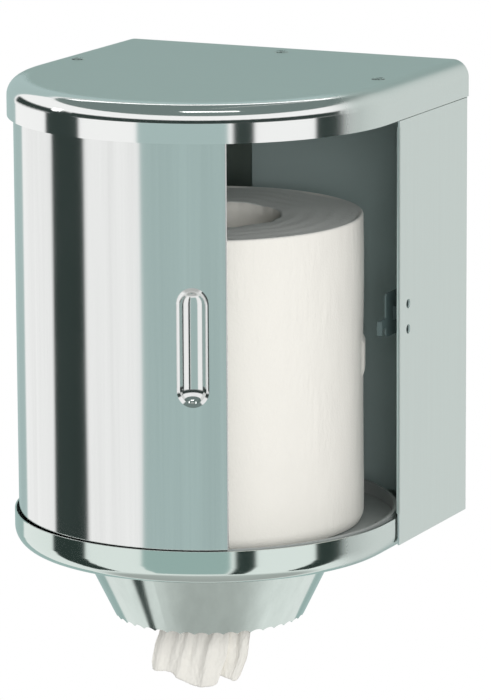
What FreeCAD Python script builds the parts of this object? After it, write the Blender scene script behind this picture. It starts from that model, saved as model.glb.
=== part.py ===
import FreeCAD, Part
import math
import os

from FreeCAD import Vector

# A wall-mounted centre-pull paper towel dispenser, in millimetres.
# X is to the right, Y into the wall, Z up. Heights are counted from the tray's underside while the
# pieces are made, and save() moves every piece so that the origin is the middle of the wall face.

# Driving dimensions
WIDTH = 252.0
DEPTH = 252.0
BODY_H = 301.0
CASING_SHEET = 1.2
TRAY_SHEET = 1.0
DOOR_SHEET = 1.0
SKIRT_H = 23.5
RIM_H = 22.4
LID_BEND = 11.0
TRAY_BEND = 12.0
SHELL_BEND = 3.0
UPSTAND_LAP = 2.0
DOOR_RADIUS = 122.0
PANEL_FRONT_Y = -108.5
PANEL_BOTTOM_Z = 4.5
PANEL_HEM_WIDTH = 8.0
PANEL_NOSE_R = 1.18
HEM_FROM_TRAY = 2.6
HEM_FROM_TOP = 4.0
TRAY_SLOT_WIDTH = 3.6
TRAY_SLOT_BOTTOM_Z = 6.5
TAB_INNER_X = 60.0
TAB_OUTER_X = 104.0
LID_TAB_DEPTH = 14.0
TRAY_TAB_H = 12.0
STRAP_FRONT_Y = -96.0
STRAP_BACK_Y = -20.0
STRAP_BELOW_SKIRT = 14.0
STRAP_CORNER_R = 4.0

# Door: angles are counted about the axis from the front, towards the right
DOOR_SPAN = 200.0
LEAD_AT_REST = 32.2
LEAD_CLOSED = 101.4
LEAD_OPEN = -25.0
RUNNING_GAP = 0.3
HEM_WIDTH = 9.0
HEM_ABOVE_RAIL = 1.2
GRIP_WIDTH = 18.0
GRIP_HEIGHT = 72.0
GRIP_BOWL_R = 9.6
GRIP_FROM_EDGE = 21.6
GRIP_LIP_R = 16.0
GRIP_LIP_WIDTH = 1.5

# Rails that the door's edges run in
GROOVE_FLOOR_H = 9.5
RAIL_LIP_H = 17.5
LOWER_LIP_H = 13.0
LOWER_WALL_H = 21.8
RAIL_INNER_WALL = 2.0
RAIL_OUTER_LIP = 1.1
RAIL_FOOT_R = 101.5
RAIL_FOOT_H = 2.0
RAIL_ROOT_H = 5.0
RAIL_ROOT_W = 2.0
NEST_GAP = 0.15
PLATE_TOP_H = 13.6
PLATE_T = 2.0
PLATE_EDGE_R = 1.2
PLATE_INNER_R = 88.5
PLATE_LIP_BOTTOM_H = 1.6
RIB_COUNT = 24
RIB_THICKNESS = 1.6
RIB_ROOT = 0.5
GUSSET_TOP_H = 14.5
GUSSET_TOP_W = 1.0
GUSSET_FOOT_R = 107.5
STOP_ROOT = 0.2
BUFFER_T = 2.0
RAIL_RIVET_R = 110.0
RAIL_RIVET_ANGLES = (-105.0, 105.0, 180.0)
RAIL_RIVET_SHANK_R = 2.0
RAIL_RIVET_HEAD_R = 4.5
RIVET_HEAD_H = 0.6
LID_HEAD_H = 0.35

# Funnel and its toothed edge
FUNNEL_TOP_R = 85.0
FUNNEL_EDGE_R = 61.0
FUNNEL_EDGE_Z = -48.0
FUNNEL_SHEET = 0.8
FUNNEL_FLANGE_R = 99.5
TOOTH_COUNT = 42
TOOTH_DEPTH = 1.7
FUNNEL_RIVET_R = 96.0
FUNNEL_RIVET_COUNT = 6
FUNNEL_RIVET_SHANK_R = 1.6
FUNNEL_RIVET_HEAD_R = 3.0
FUNNEL_NECK_H = 2.5
FUNNEL_BEND_IN = 1.5
FUNNEL_BEND_OUT = 2.0
FUNNEL_BEND_BOW = 0.65
MOUTH_R = 87.0

# Paper
ROLL_R = 100.0
ROLL_HOLLOW_R = 46.5
ROLL_TOP_Z = 213.0
ROLL_TOP_ROUND = 1.5
ROLL_FOOT_ROUND_R = 4.0
ROLL_FOOT_ROUND_H = 6.0

# Lock: a rocker behind two key holes, pivoted between them
LOCK_Z = BODY_H / 2
KEY_HOLE_SPACING = 16.3
KEY_HOLE_R = 3.0
KEY_HOLE_Y = PANEL_FRONT_Y + 13.5
LOCK_SHEET = 1.2
PIVOT_X = 116.3
LOCK_ROOT = 0.5
PIN_R = 1.5
PIN_FIT = 0.06
PIN_END = 1.0
BRACKET_HALF_H = 12.0
EAR_ROOT_HALF_H = 9.0
EAR_NOSE_R = 3.2
BRACKET_FRONT_Y = KEY_HOLE_Y + 8.2
BRACKET_BACK_Y = KEY_HOLE_Y + 22.7
WASHER_T = 0.45
WASHER_R = 3.0
STACK_GAP = 0.1
CLIP_T = 0.6
CLIP_R = 2.9
CLIP_MOUTH = 1.8
CLIP_GROOVE_R = 1.2
ROCKER_X = PIVOT_X - 5.0
ROCKER_HALF_H = 14.0
ROCKER_CORNER_R = 3.0
ROCKER_FRONT_Y = KEY_HOLE_Y - 4.0
LUG_R = 3.6
LUG_ROOT_HALF_H = 5.0
ARM_Z0 = LOCK_Z - 8.0
ARM_Z1 = LOCK_Z - 2.0
TOOTH_Z0 = LOCK_Z - 11.0
TOOTH_TIP_X = PIVOT_X - 1.7
HOOK_Y = KEY_HOLE_Y - 15.35
KEEPER_R = 117.0
KEEPER_FROM_EDGE = 6.2
KEEPER_FOOT_W = 4.4
KEEPER_STEP = 2.0
KEEPER_Z0 = LOCK_Z - 14.0
KEEPER_Z1 = LOCK_Z

# Wall fixing
WALL_HOLE_R = 3.25
WALL_HOLES_X = 170.0
WALL_HOLES_Z = 200.0

# Edges whose lengths or places differ by less than this count as the same
TOLERANCE = 0.01

HALF = WIDTH / 2
AXIS_Y = HALF - DEPTH
LID_UNDERSIDE = BODY_H - CASING_SHEET
SKIRT_EDGE_Z = BODY_H - SKIRT_H
PANEL_TOP_Z = SKIRT_EDGE_Z - 0.4
PANEL_INNER_X = HALF - CASING_SHEET
HEM_Z0 = RIM_H + HEM_FROM_TRAY
HEM_Z1 = PANEL_TOP_Z - HEM_FROM_TOP
GROOVE_IN = DOOR_RADIUS - DOOR_SHEET - RUNNING_GAP
GROOVE_OUT = DOOR_RADIUS + RUNNING_GAP
RAIL_WALL_R = GROOVE_IN - RAIL_INNER_WALL
RAIL_LIP_R = GROOVE_OUT + RAIL_OUTER_LIP
DOOR_BOTTOM = TRAY_SHEET + GROOVE_FLOOR_H + RUNNING_GAP
DOOR_TOP = LID_UNDERSIDE - GROOVE_FLOOR_H - RUNNING_GAP
UP = Vector(0, 0, 1)
AXIS = Vector(0, AXIS_Y, 0)


def save(shape, node):
    """Write one piece, moved so that the origin is the middle of the wall face."""
    moved = shape.copy()
    moved.translate(Vector(0, 0, -BODY_H / 2))
    moved.exportStep("parts/" + node + ".step")


def polar(radius, degrees, z=0.0):
    """Point at a radius from the door's axis, at an angle from the front towards the right."""
    angle = math.radians(degrees)
    return Vector(radius * math.sin(angle), AXIS_Y - radius * math.cos(angle), z)


def arc_degrees(length, radius):
    """Angle that an arc of this length covers at this radius."""
    return math.degrees(length / radius)


def box(x0, x1, y0, y1, z0, z1):
    """Box between two corners."""
    return Part.makeBox(x1 - x0, y1 - y0, z1 - z0, Vector(x0, y0, z0))


def fuse(shapes):
    """One clean solid from overlapping or touching shapes."""
    return shapes[0].multiFuse(shapes[1:]).removeSplitter()


def mirrored_pair(right):
    """A shape on the right-hand side and its mirror image on the left."""
    return [right, right.mirror(Vector(0, 0, 0), Vector(1, 0, 0))]


def closed_face(edges):
    """Face inside a loop of edges."""
    return Part.Face(Part.Wire(Part.__sortEdges__(edges)))


def polygon_face(points):
    """Face inside a polygon."""
    return Part.Face(Part.makePolygon(points + points[:1]))


def profile_point(radius, z):
    """Point of a profile that is later turned about the door's axis."""
    return Vector(radius, AXIS_Y, z)


def bowed_arc(start, end, bow):
    """Arc of a profile whose middle stands this far off its chord, on the left of its way."""
    chord = end - start
    left = Vector(-chord.z, 0, chord.x).normalize()
    return Part.Arc(start, (start + end) * 0.5 + left * bow, end).toShape()


def turn(face, start=0.0, span=360.0):
    """Turn a profile about the door's axis, from a start angle through a span."""
    solid = face.revolve(AXIS, UP, span)
    solid.rotate(AXIS, UP, start - 90.0)
    return solid


def tube(r_in, r_out, z0, z1, start=0.0, span=360.0):
    """Part of an upright tube about the door's axis."""
    corners = [(r_in, z0), (r_out, z0), (r_out, z1), (r_in, z1)]
    return turn(polygon_face([profile_point(r, z) for r, z in corners]), start, span)


def plan_face(inset, back_y, z):
    """U-shaped plan of the body, drawn in from the side walls by inset, and ending at back_y."""
    a = HALF - inset
    right_back = Vector(a, back_y, z)
    right_front = Vector(a, AXIS_Y, z)
    nose = Vector(0, AXIS_Y - a, z)
    left_front = Vector(-a, AXIS_Y, z)
    left_back = Vector(-a, back_y, z)
    return closed_face([
        Part.makeLine(left_back, right_back),
        Part.makeLine(right_back, right_front),
        Part.Arc(right_front, nose, left_front).toShape(),
        Part.makeLine(left_front, left_back),
    ])


def rounded_block(inset, back_y, closed_z, open_z, bend):
    """U-shaped block whose edge at closed_z is rounded along the sides and the front."""
    block = plan_face(inset, back_y, closed_z).extrude(Vector(0, 0, open_z - closed_z))
    rim = [
        edge for edge in block.Edges
        if all(abs(v.Z - closed_z) < TOLERANCE for v in edge.Vertexes)
        and edge.CenterOfMass.y < back_y - TOLERANCE
    ]
    return block.makeFillet(bend, rim)


def drawn_shell(inset, sheet, back_y, closed_z, open_z, bend):
    """Shell drawn from one sheet: flat end, rounded edge and upright wall, open at the back."""
    way = 1 if open_z > closed_z else -1
    outer = rounded_block(inset, back_y, closed_z, open_z, bend)
    past_back = back_y + 10 * bend
    inner = rounded_block(inset + sheet, past_back, closed_z + way * sheet,
                          open_z + way * sheet, bend - sheet)
    return outer.cut(inner)


def rivet(radius, degrees, z0, z1, shank_r, head_r, head_h):
    """Round rivet through the sheets between z0 and z1, with a flat bevelled head on each side."""
    foot = polar(radius, degrees, z0)
    top = polar(radius, degrees, z1)
    shank = Part.makeCylinder(shank_r, z1 - z0, foot)
    foot_head = Part.makeCone(head_r, head_r - head_h, head_h, foot, UP * -1)
    top_head = Part.makeCone(head_r, head_r - head_h, head_h, top, UP)
    return fuse([shank, foot_head, top_head])


def rivet_holes(radius, angles, shank_r):
    """Cutters for the holes of a ring of rivets, through all heights."""
    return [Part.makeCylinder(shank_r, 2 * BODY_H, polar(radius, a, -BODY_H / 2)) for a in angles]


# ---------------------------------------------------------------- casing

def bent_wall_face(inset, front_y, z):
    """Plan of the back wall and side walls as a filled shape with two rounded rear corners."""
    a = HALF - inset
    bend = SHELL_BEND - inset
    turn_in = bend * (1 - math.sqrt(0.5))
    return closed_face([
        Part.makeLine(Vector(a, front_y, z), Vector(a, -inset - bend, z)),
        Part.Arc(Vector(a, -inset - bend, z), Vector(a - turn_in, -inset - turn_in, z),
                 Vector(a - bend, -inset, z)).toShape(),
        Part.makeLine(Vector(a - bend, -inset, z), Vector(bend - a, -inset, z)),
        Part.Arc(Vector(bend - a, -inset, z), Vector(turn_in - a, -inset - turn_in, z),
                 Vector(-a, -inset - bend, z)).toShape(),
        Part.makeLine(Vector(-a, -inset - bend, z), Vector(-a, front_y, z)),
        Part.makeLine(Vector(-a, front_y, z), Vector(a, front_y, z)),
    ])


def front_hem():
    """Folded front edge of the right side wall, two sheets thick with a round nose."""
    x_in = HALF - 2 * CASING_SHEET
    strip = box(x_in, HALF, PANEL_FRONT_Y, PANEL_FRONT_Y + PANEL_HEM_WIDTH, HEM_Z0, HEM_Z1)
    nose = [
        edge for edge in strip.Edges
        if abs(edge.CenterOfMass.y - PANEL_FRONT_Y) < TOLERANCE and edge.Length > PANEL_HEM_WIDTH * 2
    ]
    return strip.makeFillet(PANEL_NOSE_R, nose)


def make_rear_shell():
    height = PANEL_TOP_Z - PANEL_BOTTOM_Z
    lift = Vector(0, 0, height)
    outer = bent_wall_face(0.0, PANEL_FRONT_Y, PANEL_BOTTOM_Z).extrude(lift)
    inner = bent_wall_face(CASING_SHEET, PANEL_FRONT_Y - 10, PANEL_BOTTOM_Z).extrude(lift)
    wall = outer.cut(inner)
    nose_depth = 2 * CASING_SHEET
    flat_front = box(HALF - nose_depth, HALF + nose_depth, PANEL_FRONT_Y - nose_depth,
                     PANEL_FRONT_Y + nose_depth, HEM_Z0, HEM_Z1)
    wall = wall.cut(mirrored_pair(flat_front))

    upstand_z = PANEL_TOP_Z - UPSTAND_LAP
    under_lid = rounded_block(CASING_SHEET, 0.0, LID_UNDERSIDE, upstand_z, LID_BEND - CASING_SHEET)
    upstand = under_lid.common(box(-HALF, HALF, -CASING_SHEET, 0, upstand_z, BODY_H))
    tabs = mirrored_pair(box(TAB_INNER_X, TAB_OUTER_X, -LID_TAB_DEPTH, 0,
                             LID_UNDERSIDE - CASING_SHEET, LID_UNDERSIDE))
    shell = fuse([wall, upstand] + mirrored_pair(front_hem()) + tabs)

    through = 4 * CASING_SHEET
    cutters = []
    for x in (-WALL_HOLES_X / 2, WALL_HOLES_X / 2):
        for z in (-WALL_HOLES_Z / 2, WALL_HOLES_Z / 2):
            at = Vector(x, -through / 2, BODY_H / 2 + z)
            cutters.append(Part.makeCylinder(WALL_HOLE_R, through, at, Vector(0, 1, 0)))
    for z in (-KEY_HOLE_SPACING / 2, KEY_HOLE_SPACING / 2):
        at = Vector(HALF - through / 2, KEY_HOLE_Y, LOCK_Z + z)
        cutters.append(Part.makeCylinder(KEY_HOLE_R, through, at, Vector(1, 0, 0)))
    return shell.cut(cutters)


def make_top_lid():
    lid = drawn_shell(0.0, CASING_SHEET, 0.0, BODY_H, SKIRT_EDGE_Z, LID_BEND)
    return lid.cut(rivet_holes(RAIL_RIVET_R, RAIL_RIVET_ANGLES, RAIL_RIVET_SHANK_R))


def funnel_rivet_angles():
    step = 360.0 / FUNNEL_RIVET_COUNT
    return [step / 2 + step * i for i in range(FUNNEL_RIVET_COUNT)]


def tray_slots():
    """Cutters for the two slots in the tray's rim, just ahead of the side walls' front edges."""
    half_w = TRAY_SLOT_WIDTH / 2
    y = PANEL_FRONT_Y - half_w
    x_in = HALF - TRAY_BEND
    round_z = TRAY_SLOT_BOTTOM_Z + half_w
    foot = Part.makeCylinder(half_w, TRAY_BEND, Vector(x_in, y, round_z), Vector(1, 0, 0))
    slot = fuse([box(x_in, HALF, y - half_w, y + half_w, round_z, BODY_H), foot])
    return mirrored_pair(slot)


def make_bottom_tray():
    tray = drawn_shell(CASING_SHEET, TRAY_SHEET, -CASING_SHEET, 0.0, RIM_H, TRAY_BEND)
    tabs = mirrored_pair(box(TAB_INNER_X, TAB_OUTER_X, -CASING_SHEET - TRAY_SHEET, -CASING_SHEET,
                             0, TRAY_TAB_H))
    tray = fuse([tray] + tabs)
    mouth = Part.makeCylinder(MOUTH_R, 4 * TRAY_SHEET, AXIS - UP * TRAY_SHEET)
    holes = rivet_holes(RAIL_RIVET_R, RAIL_RIVET_ANGLES, RAIL_RIVET_SHANK_R)
    holes += rivet_holes(FUNNEL_RIVET_R, funnel_rivet_angles(), FUNNEL_RIVET_SHANK_R)
    between_walls = bent_wall_face(CASING_SHEET, -2 * DEPTH, 0.0).extrude(UP * RIM_H)
    return tray.common(between_walls).cut([mouth] + holes + tray_slots())


def make_side_straps():
    """Flat straps inside the side walls that carry the lid's skirt."""
    right = box(PANEL_INNER_X - CASING_SHEET, PANEL_INNER_X, STRAP_FRONT_Y, STRAP_BACK_Y,
                PANEL_TOP_Z - STRAP_BELOW_SKIRT, BODY_H - LID_BEND)
    corners = [edge for edge in right.Edges if abs(edge.Length - CASING_SHEET) < TOLERANCE]
    return Part.makeCompound(mirrored_pair(right.makeFillet(STRAP_CORNER_R, corners)))


# ---------------------------------------------------------------- rails

def rail_profile(face_z, way, shell_r, bend, wall_h, lip_h):
    """Section of a rail: foot, inner wall, and a groove over the bend of the shell that holds it."""
    centre_r = shell_r - bend
    nest = bend - NEST_GAP
    meet_angle = math.asin((RAIL_LIP_R - centre_r) / nest)

    def at(radius, height):
        return profile_point(radius, face_z + way * height)

    def on_bend(angle):
        return at(centre_r + nest * math.sin(angle), bend - nest * math.cos(angle))

    loop = [
        at(RAIL_LIP_R, lip_h),
        at(GROOVE_OUT, lip_h),
        at(GROOVE_OUT, GROOVE_FLOOR_H),
        at(GROOVE_IN, GROOVE_FLOOR_H),
        at(GROOVE_IN, wall_h),
        at(RAIL_WALL_R, wall_h),
        at(RAIL_WALL_R, RAIL_ROOT_H),
        at(RAIL_WALL_R - RAIL_ROOT_W, RAIL_FOOT_H),
        at(RAIL_FOOT_R, RAIL_FOOT_H),
        at(RAIL_FOOT_R, 0),
        at(centre_r - RAIL_ROOT_W, 0),
        on_bend(0),
    ]
    edges = [Part.makeLine(a, b) for a, b in zip(loop, loop[1:])]
    edges.append(Part.Arc(on_bend(0), on_bend(meet_angle / 2), on_bend(meet_angle)).toShape())
    edges.append(Part.makeLine(on_bend(meet_angle), loop[0]))
    return closed_face(edges)


def rail_ribs(face_z, way, corners):
    """Ring of upright ribs, from one rib's corners given as (radius, height)."""
    face = polygon_face([profile_point(r, face_z + way * h) for r, h in corners])
    rib = face.extrude(Vector(0, RIB_THICKNESS, 0))
    rib.translate(Vector(0, -RIB_THICKNESS / 2, 0))
    step = 360.0 / RIB_COUNT
    ribs = []
    for i in range(RIB_COUNT):
        turned = rib.copy()
        turned.rotate(AXIS, UP, step * (i + 0.5) - 90.0)
        ribs.append(turned)
    return ribs


def make_upper_rail():
    """Rail with gussets between its foot and its wall."""
    section = rail_profile(LID_UNDERSIDE, -1, PANEL_INNER_X, LID_BEND - CASING_SHEET, RAIL_LIP_H,
                           RAIL_LIP_H)
    in_foot = RAIL_FOOT_H - RIB_ROOT
    in_wall = RAIL_WALL_R + RIB_ROOT
    gusset = [(in_wall, RAIL_ROOT_H), (in_wall, GUSSET_TOP_H), (RAIL_WALL_R - GUSSET_TOP_W, GUSSET_TOP_H),
              (GUSSET_FOOT_R, RAIL_FOOT_H), (GUSSET_FOOT_R, in_foot),
              (RAIL_WALL_R - 2 * RAIL_ROOT_W, in_foot)]
    rail = fuse([turn(section)] + rail_ribs(LID_UNDERSIDE, -1, gusset))
    return rail.cut(rivet_holes(RAIL_RIVET_R, RAIL_RIVET_ANGLES, RAIL_RIVET_SHANK_R))


def roll_plate():
    """Flat ring that the roll stands on, with a lip down round the paper's way through."""
    top = TRAY_SHEET + PLATE_TOP_H
    lip_z = TRAY_SHEET + PLATE_LIP_BOTTOM_H
    ring = tube(PLATE_INNER_R, RAIL_WALL_R + RIB_ROOT, top - PLATE_T, top)
    inner_edge = [e for e in ring.Edges if abs(e.Length - 2 * math.pi * PLATE_INNER_R) < TOLERANCE
                  and e.CenterOfMass.z > top - TOLERANCE]
    return [ring.makeFillet(PLATE_EDGE_R, inner_edge),
            tube(PLATE_INNER_R, PLATE_INNER_R + PLATE_T, lip_z, top - PLATE_T)]


def closed_nose_at():
    """Angle that the end of the door's plain edge reaches when the door is closed."""
    return LEAD_CLOSED - LEAD_AT_REST + door_nose_at()


def make_lower_rail():
    """Rail with the roll's plate on ribs, and a groove filled where the door's edges have to stop."""
    section = rail_profile(TRAY_SHEET, 1, HALF - CASING_SHEET - TRAY_SHEET, TRAY_BEND - TRAY_SHEET,
                           LOWER_WALL_H, LOWER_LIP_H)
    in_plate = PLATE_TOP_H - PLATE_T + RIB_ROOT
    in_wall = RAIL_WALL_R + RIB_ROOT
    in_lip = PLATE_INNER_R + RIB_ROOT
    over_heads = PLATE_LIP_BOTTOM_H + RIB_ROOT
    rib = [(in_wall, RAIL_ROOT_H), (in_wall, in_plate), (in_lip, in_plate), (in_lip, over_heads),
           (RAIL_FOOT_R + RIB_ROOT, over_heads), (RAIL_FOOT_R + RIB_ROOT, RAIL_FOOT_H - RIB_ROOT),
           (RAIL_WALL_R - 2 * RAIL_ROOT_W, RAIL_FOOT_H - RIB_ROOT)]
    ribs = rail_ribs(TRAY_SHEET, 1, rib)
    gap = arc_degrees(RUNNING_GAP + BUFFER_T, DOOR_RADIUS)
    start = closed_nose_at() + gap
    end = LEAD_OPEN - DOOR_SPAN + 360.0 - gap
    stop = tube(GROOVE_IN - STOP_ROOT, GROOVE_OUT + STOP_ROOT, TRAY_SHEET + GROOVE_FLOOR_H - RIB_ROOT,
                TRAY_SHEET + LOWER_LIP_H, start, end - start)
    rail = fuse([turn(section)] + roll_plate() + ribs + [stop])
    return rail.cut(rivet_holes(RAIL_RIVET_R, RAIL_RIVET_ANGLES, RAIL_RIVET_SHANK_R))


def make_stop_buffers():
    """Soft pads on the two ends of the stop in the lower groove."""
    pad = arc_degrees(BUFFER_T, DOOR_RADIUS)
    gap = arc_degrees(RUNNING_GAP, DOOR_RADIUS)
    starts = (closed_nose_at() + gap, LEAD_OPEN - DOOR_SPAN + 360.0 - gap - pad)
    z0 = TRAY_SHEET + GROOVE_FLOOR_H
    return Part.makeCompound([
        tube(GROOVE_IN, GROOVE_OUT, z0, TRAY_SHEET + LOWER_LIP_H, start, pad) for start in starts
    ])


def make_upper_rail_rivets():
    z0 = LID_UNDERSIDE - RAIL_FOOT_H
    return Part.makeCompound([
        rivet(RAIL_RIVET_R, a, z0, BODY_H, RAIL_RIVET_SHANK_R, RAIL_RIVET_HEAD_R, LID_HEAD_H)
        for a in RAIL_RIVET_ANGLES
    ])


def make_lower_rail_rivets():
    z1 = TRAY_SHEET + RAIL_FOOT_H
    return Part.makeCompound([
        rivet(RAIL_RIVET_R, a, 0.0, z1, RAIL_RIVET_SHANK_R, RAIL_RIVET_HEAD_R, RIVET_HEAD_H)
        for a in RAIL_RIVET_ANGLES
    ])


# ---------------------------------------------------------------- funnel

def make_outlet_funnel():
    """Cone with a flange that rests on the tray, and a scalloped edge that tears the paper."""
    slope = (FUNNEL_TOP_R - FUNNEL_EDGE_R) / (TRAY_SHEET - FUNNEL_EDGE_Z)
    side = math.hypot(1.0, slope) * FUNNEL_SHEET
    top_z = TRAY_SHEET + FUNNEL_SHEET
    neck_z = TRAY_SHEET - FUNNEL_NECK_H

    def cone_r(z):
        return FUNNEL_TOP_R - slope * (TRAY_SHEET - z)

    neck_r = cone_r(neck_z)
    corners = [
        profile_point(FUNNEL_TOP_R + FUNNEL_BEND_OUT, TRAY_SHEET),
        profile_point(FUNNEL_FLANGE_R, TRAY_SHEET),
        profile_point(FUNNEL_FLANGE_R, top_z),
        profile_point(FUNNEL_TOP_R + FUNNEL_BEND_IN, top_z),
        profile_point(neck_r - side, neck_z),
        profile_point(FUNNEL_EDGE_R - side, FUNNEL_EDGE_Z),
        profile_point(FUNNEL_EDGE_R, FUNNEL_EDGE_Z),
        profile_point(neck_r, neck_z),
    ]
    lines = [(0, 1), (1, 2), (2, 3), (4, 5), (5, 6), (6, 7)]
    section = closed_face(
        [Part.makeLine(corners[a], corners[b]) for a, b in lines]
        + [bowed_arc(corners[3], corners[4], -FUNNEL_BEND_BOW),
           bowed_arc(corners[7], corners[0], FUNNEL_BEND_BOW)])
    funnel = turn(section)
    pitch = 2 * math.pi * FUNNEL_EDGE_R / TOOTH_COUNT
    bite_r = (pitch ** 2 / 4 + TOOTH_DEPTH ** 2) / (2 * TOOTH_DEPTH)
    bite_z = FUNNEL_EDGE_Z + TOOTH_DEPTH - bite_r
    through = 10 * FUNNEL_SHEET
    bites = []
    for i in range(TOOTH_COUNT):
        degrees = 360.0 / TOOTH_COUNT * (i + 0.5)
        start = polar(FUNNEL_EDGE_R - through / 2, degrees, bite_z)
        bites.append(Part.makeCylinder(bite_r, through, start, polar(1, degrees) - AXIS))
    funnel = funnel.cut(bites)
    return funnel.cut(rivet_holes(FUNNEL_RIVET_R, funnel_rivet_angles(), FUNNEL_RIVET_SHANK_R))


def make_funnel_rivets():
    top_z = TRAY_SHEET + FUNNEL_SHEET
    return Part.makeCompound([
        rivet(FUNNEL_RIVET_R, a, 0.0, top_z, FUNNEL_RIVET_SHANK_R, FUNNEL_RIVET_HEAD_R, RIVET_HEAD_H)
        for a in funnel_rivet_angles()
    ])


# ---------------------------------------------------------------- door

def grip_centre():
    return LEAD_AT_REST - arc_degrees(GRIP_FROM_EDGE, DOOR_RADIUS)


def capsule(radius, from_axis):
    """Upright capsule beside the door, whose ends are centred on the grip's rounded ends."""
    half_run = (GRIP_HEIGHT - GRIP_WIDTH) / 2
    low = polar(from_axis, grip_centre(), BODY_H / 2 - half_run)
    high = low + UP * 2 * half_run
    return fuse([
        Part.makeCylinder(radius, 2 * half_run, low),
        Part.makeSphere(radius, low),
        Part.makeSphere(radius, high),
    ])


def capsule_axis(radius, width):
    """Distance from the door's axis at which a capsule cuts the door's face this wide."""
    return DOOR_RADIUS + math.sqrt(radius ** 2 - (width / 2) ** 2)


def door_nose_at():
    """Angle of the centre of the round nose on the door's leading edge."""
    inner_r = DOOR_RADIUS - DOOR_SHEET
    return LEAD_AT_REST - arc_degrees(DOOR_SHEET, inner_r)


def hemmed_section(z):
    """Plan of the door's sheet where its leading edge is folded back on the inside."""
    inner_r = DOOR_RADIUS - DOOR_SHEET
    fold_r = inner_r - DOOR_SHEET
    trail = LEAD_AT_REST - DOOR_SPAN
    nose_at = door_nose_at()
    fold_end = nose_at - arc_degrees(HEM_WIDTH, inner_r)

    def arc(radius, start, end):
        middle = polar(radius, (start + end) / 2, z)
        return Part.Arc(polar(radius, start, z), middle, polar(radius, end, z)).toShape()

    nose_tip = polar(inner_r, nose_at, z) + (polar(1, nose_at + 90.0) - AXIS) * DOOR_SHEET
    return closed_face([
        arc(DOOR_RADIUS, trail, nose_at),
        Part.Arc(polar(DOOR_RADIUS, nose_at, z), nose_tip, polar(fold_r, nose_at, z)).toShape(),
        arc(fold_r, nose_at, fold_end),
        Part.makeLine(polar(fold_r, fold_end, z), polar(inner_r, fold_end, z)),
        arc(inner_r, fold_end, trail),
        Part.makeLine(polar(inner_r, trail, z), polar(DOOR_RADIUS, trail, z)),
    ])


def make_door_panel():
    """Sheet whose plain upper and lower edges run in the rails, with a hem and a finger grip."""
    inner_r = DOOR_RADIUS - DOOR_SHEET
    trail = LEAD_AT_REST - DOOR_SPAN
    span = door_nose_at() - trail
    hem_z0 = TRAY_SHEET + LOWER_WALL_H + HEM_ABOVE_RAIL
    hem_z1 = LID_UNDERSIDE - RAIL_LIP_H - HEM_ABOVE_RAIL
    door = fuse([
        tube(inner_r, DOOR_RADIUS, DOOR_BOTTOM, hem_z0, trail, span),
        hemmed_section(hem_z0).extrude(UP * (hem_z1 - hem_z0)),
        tube(inner_r, DOOR_RADIUS, hem_z1, DOOR_TOP, trail, span),
    ])

    inside = Part.makeCylinder(DOOR_RADIUS, BODY_H, AXIS)
    bowl_at = capsule_axis(GRIP_BOWL_R, GRIP_WIDTH)
    bowl = capsule(GRIP_BOWL_R, bowl_at)
    pressed = capsule(GRIP_BOWL_R + DOOR_SHEET, bowl_at).common(inside)
    lip = capsule(GRIP_LIP_R, capsule_axis(GRIP_LIP_R, GRIP_WIDTH + 2 * GRIP_LIP_WIDTH))
    return fuse([door, pressed]).cut([bowl, lip])


def make_lock_keeper():
    """Angle piece on the door's folded edge, with the tab that the rocker's hook holds."""
    hem_r = DOOR_RADIUS - 2 * DOOR_SHEET
    tab_at = LEAD_AT_REST - arc_degrees(KEEPER_FROM_EDGE, hem_r)
    foot = tube(hem_r - LOCK_SHEET, hem_r, KEEPER_Z0, KEEPER_Z1, tab_at,
                arc_degrees(KEEPER_FOOT_W, hem_r))
    tab = tube(KEEPER_R, hem_r, KEEPER_Z0, KEEPER_Z1 - KEEPER_STEP, tab_at,
               arc_degrees(LOCK_SHEET, hem_r))
    return fuse([foot, tab])


# ---------------------------------------------------------------- lock

def upright_plate(points, y0, y1):
    """Plate across the depth, from points given as (x, z), with the edges they join."""
    face = polygon_face([Vector(x, y0, z) for x, z in points])
    return face.extrude(Vector(0, y1 - y0, 0))


def pivot_cylinder(radius, y0, y1):
    return Part.makeCylinder(radius, y1 - y0, Vector(PIVOT_X, y0, LOCK_Z), Vector(0, 1, 0))


def make_lock_bracket():
    """U bracket on the right wall's inner face, with an ear at each end for the pin."""
    base_in = PANEL_INNER_X - LOCK_SHEET
    bracket = [box(base_in, PANEL_INNER_X, BRACKET_FRONT_Y, BRACKET_BACK_Y,
                   LOCK_Z - BRACKET_HALF_H, LOCK_Z + BRACKET_HALF_H)]
    root_x = base_in + LOCK_ROOT
    for y0, y1 in ((BRACKET_FRONT_Y, BRACKET_FRONT_Y + LOCK_SHEET),
                   (BRACKET_BACK_Y - LOCK_SHEET, BRACKET_BACK_Y)):
        web = [(PIVOT_X, LOCK_Z - EAR_NOSE_R), (root_x, LOCK_Z - EAR_ROOT_HALF_H),
               (root_x, LOCK_Z + EAR_ROOT_HALF_H), (PIVOT_X, LOCK_Z + EAR_NOSE_R)]
        bracket.append(upright_plate(web, y0, y1))
        bracket.append(pivot_cylinder(EAR_NOSE_R, y0, y1))
    return fuse(bracket).cut(pivot_cylinder(PIN_R, BRACKET_FRONT_Y - PIN_END, BRACKET_BACK_Y + PIN_END))


def lug_faces():
    """Depths of the rocker's two lugs, one outside each ear of the bracket."""
    reach = WASHER_T + STACK_GAP
    return ((BRACKET_FRONT_Y - reach - LOCK_SHEET, BRACKET_FRONT_Y - reach),
            (BRACKET_BACK_Y + reach, BRACKET_BACK_Y + reach + LOCK_SHEET))


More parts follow.
